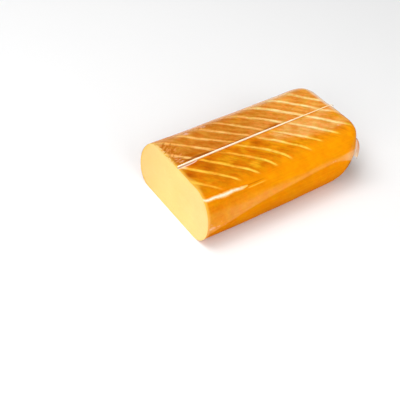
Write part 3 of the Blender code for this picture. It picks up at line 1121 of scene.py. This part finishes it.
# Hangs close over the end; the fourth power of the spread flares it out at its two ears, and
# sine pleats that crowd towards the ears deepen on the way down
def flapGrid():
    spread = np.linspace(-1, 1, flap["columns"] + 1)
    down = np.linspace(0, 1, flap["rows"] + 1)[:, None]
    phase = pi * flap["pleats"] * spread * (1 + flap["crowding"] * spread**2)
    ear = np.abs(spread) ** flap["earSharpness"]
    across = spread * (flap["halfWidth"] + flap["flare"] * down)
    height = flap["top"] + (flap["foot"] - flap["top"] + flap["earLift"] * ear) * down
    height = height + flap["hemWave"] * down * np.cos(phase)
    bulge = flap["earStandOff"] * np.sin(pi * flap["earCurl"] * down ** flap["earStart"])
    pleat = flap["pleatDepth"] + (flap["earPleatDepth"] - flap["pleatDepth"]) * ear
    out = flap["standOff"] * down * (1 - ear) + bulge * ear + pleat * down * np.sin(phase)
    along = endFaceAt(across, height) + weld["gap"] + weld["thickness"] + out
    return np.stack([along, across, height], -1) + shift, spread, down


# Whitish film with streaks down its pleats, see-through where it is single, warm at its ears with painted
# shade and highlights, and a painted glow from emission
def flapMaterial():
    material, graph = newMaterial("looseFilm")
    across, drop = graph.parts(graph.skinPlace())[:2]
    halfWidth, fall = flap["skinSize"]
    down = drop / fall
    streak = graph.streaks(5 * mm, 50 * mm, roughness=0.45)
    lines = graph.streaks(1.6 * mm, 50 * mm)
    fine = graph.noise(graph.objectPlace(), 700, 2)
    ear = abs(across / halfWidth).rise(0.86, 0.97)
    top = down.fall(0, 0.3)
    colour = graph.blend(streak.rise(0.35, 0.6), flap["foldColour"], flap["colour"])
    earShadeAndShine = graph.blend(lines.rise(0.4, 0.6), flap["earShade"], flap["earShine"])
    colour = graph.blend(ear * down.fall(0.5, 0.95) * 0.85, colour, earShadeAndShine)
    single, double = flap["clearness"]
    dense = single + streak.rise(0.35, 0.75) * (double - single) + ear * 0.35
    graph.principled({
        "Base Color": colour,
        "Roughness": 0.22 + streak * 0.15,
        "Normal": graph.bump(streak + fine * 0.3, 0.0003, 0.4),
        "Alpha": dense * (1 - top * (0.85 - ear * 0.6)),
        "Emission Color": colour,
        "Emission Strength": flap["glow"],
        "Coat Weight": 0.6,
        "Coat Roughness": 0.1,
    })
    return material


flapPoints, flapSpread, flapDown = flapGrid()
skinWidth, skinDrop = flap["skinSize"]
filmFlap = filmSheet("filmFlap", flapPoints, flap["thickness"], flapSpread * skinWidth, flapDown * skinDrop)
filmFlap.data.materials.append(flapMaterial())
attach(filmFlap, "root")
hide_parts("film_flap")
print("end flap:", flapPoints.shape[:2])


# Floor, light and camera
studio = dict(
    floor=(0.93, 0.93, 0.93, 1),
    floorSize=12,
    floorDrop=0.2 * mm,
    floorGlow=(0.6, 1.9),  # metres out where it turns plain white
    floorWhite=0.95,
    sky=0.05,
    horizon=1,
    softboxes={  # place, size and power of each
        "keySoftbox": ((-1.5, -1, 1.5), 1.6, 29),
        "topSoftbox": ((-0.7, 0.6, 2.1), 1.7, 39),
        "frontSoftbox": ((0, -2, 1.2), 1.4, 19),
    },
)


def buildFloor():
    half = studio["floorSize"] / 2
    low = -studio["floorDrop"]
    points = np.array([[-half, -half, low], [half, -half, low], [half, half, low], [-half, half, low]])
    floor = newPiece("studioFloor", points, np.array([[0, 1, 2, 3]]))
    material, graph = newMaterial("paleFloor")
    plain = graph.node("BsdfPrincipled", {}, {
        "Base Color": studio["floor"], "Roughness": 0.9, "Specular IOR Level": 0.1})
    white = graph.node("Emission", {}, {"Color": (1, 1, 1, 1), "Strength": studio["floorWhite"]})
    away = graph.node("VectorMath", {"operation": "LENGTH"}, {0: graph.objectPlace()}, 1)
    sockets = {0: away.rise(*studio["floorGlow"]), 1: plain, 2: white}
    graph.finish(graph.node("MixShader", {}, sockets))
    floor.data.materials.append(material)


def addSoftbox(name, place, size, power, target=(0, 0, 0.03)):
    light = bpy.data.lights.new(name, "AREA")
    light.shape = "SQUARE"
    light.size = size
    light.energy = power
    lamp = bpy.data.objects.new(name, light)
    lamp.location = place
    lamp.rotation_euler = (Vector(target) - Vector(place)).to_track_quat("-Z", "Y").to_euler()
    lamp.visible_camera = False
    scene.collection.objects.link(lamp)


# A room that is pale down at the floor and darker above
def buildWorld():
    world = bpy.data.worlds.new("studioRoom")
    world.use_nodes = True
    scene.world = world
    graph = Graph(world.node_tree)
    heading = graph.node("TexCoord", {}, {}, "Generated")
    upward = graph.parts(heading)[2]
    strength = studio["horizon"] + upward.rise(0.01, 0.07) * (studio["sky"] - studio["horizon"])
    surface = graph.node("Background", {}, {"Color": (1, 1, 1, 1), "Strength": strength})
    graph.finish(surface, "OutputWorld")


viewpoint = dict(
    place=(-403.86 * mm, -585.36 * mm, 658.06 * mm),  # from the cut, the middle and the base
    forward=(0.44503, 0.59394, -0.67021),
    roll=radians(-4.061),
    lens=83.331,
    sensor=36,
)


# Looks along its forward direction, level but for a small roll
def buildCamera():
    forward = Vector(viewpoint["forward"]).normalized()
    level = forward.cross(Vector((0, 0, 1))).normalized()
    down = forward.cross(level)
    turn = viewpoint["roll"]
    right = level * cos(turn) + down * sin(turn)
    up = -(down * cos(turn) - level * sin(turn))
    data = bpy.data.cameras.new("photoCamera")
    data.lens = viewpoint["lens"]
    data.sensor_width = viewpoint["sensor"]
    camera = bpy.data.objects.new("photoCamera", data)
    place = Vector(viewpoint["place"]) + Vector(shift)
    camera.matrix_world = Matrix.Translation(place) @ Matrix((right, up, -forward)).transposed().to_4x4()
    scene.collection.objects.link(camera)
    scene.camera = camera


buildFloor()
for name, (place, size, power) in studio["softboxes"].items():
    addSoftbox(name, place, size, power)
buildWorld()
buildCamera()
scene.view_settings.view_transform = "Standard"
print("studio ready")
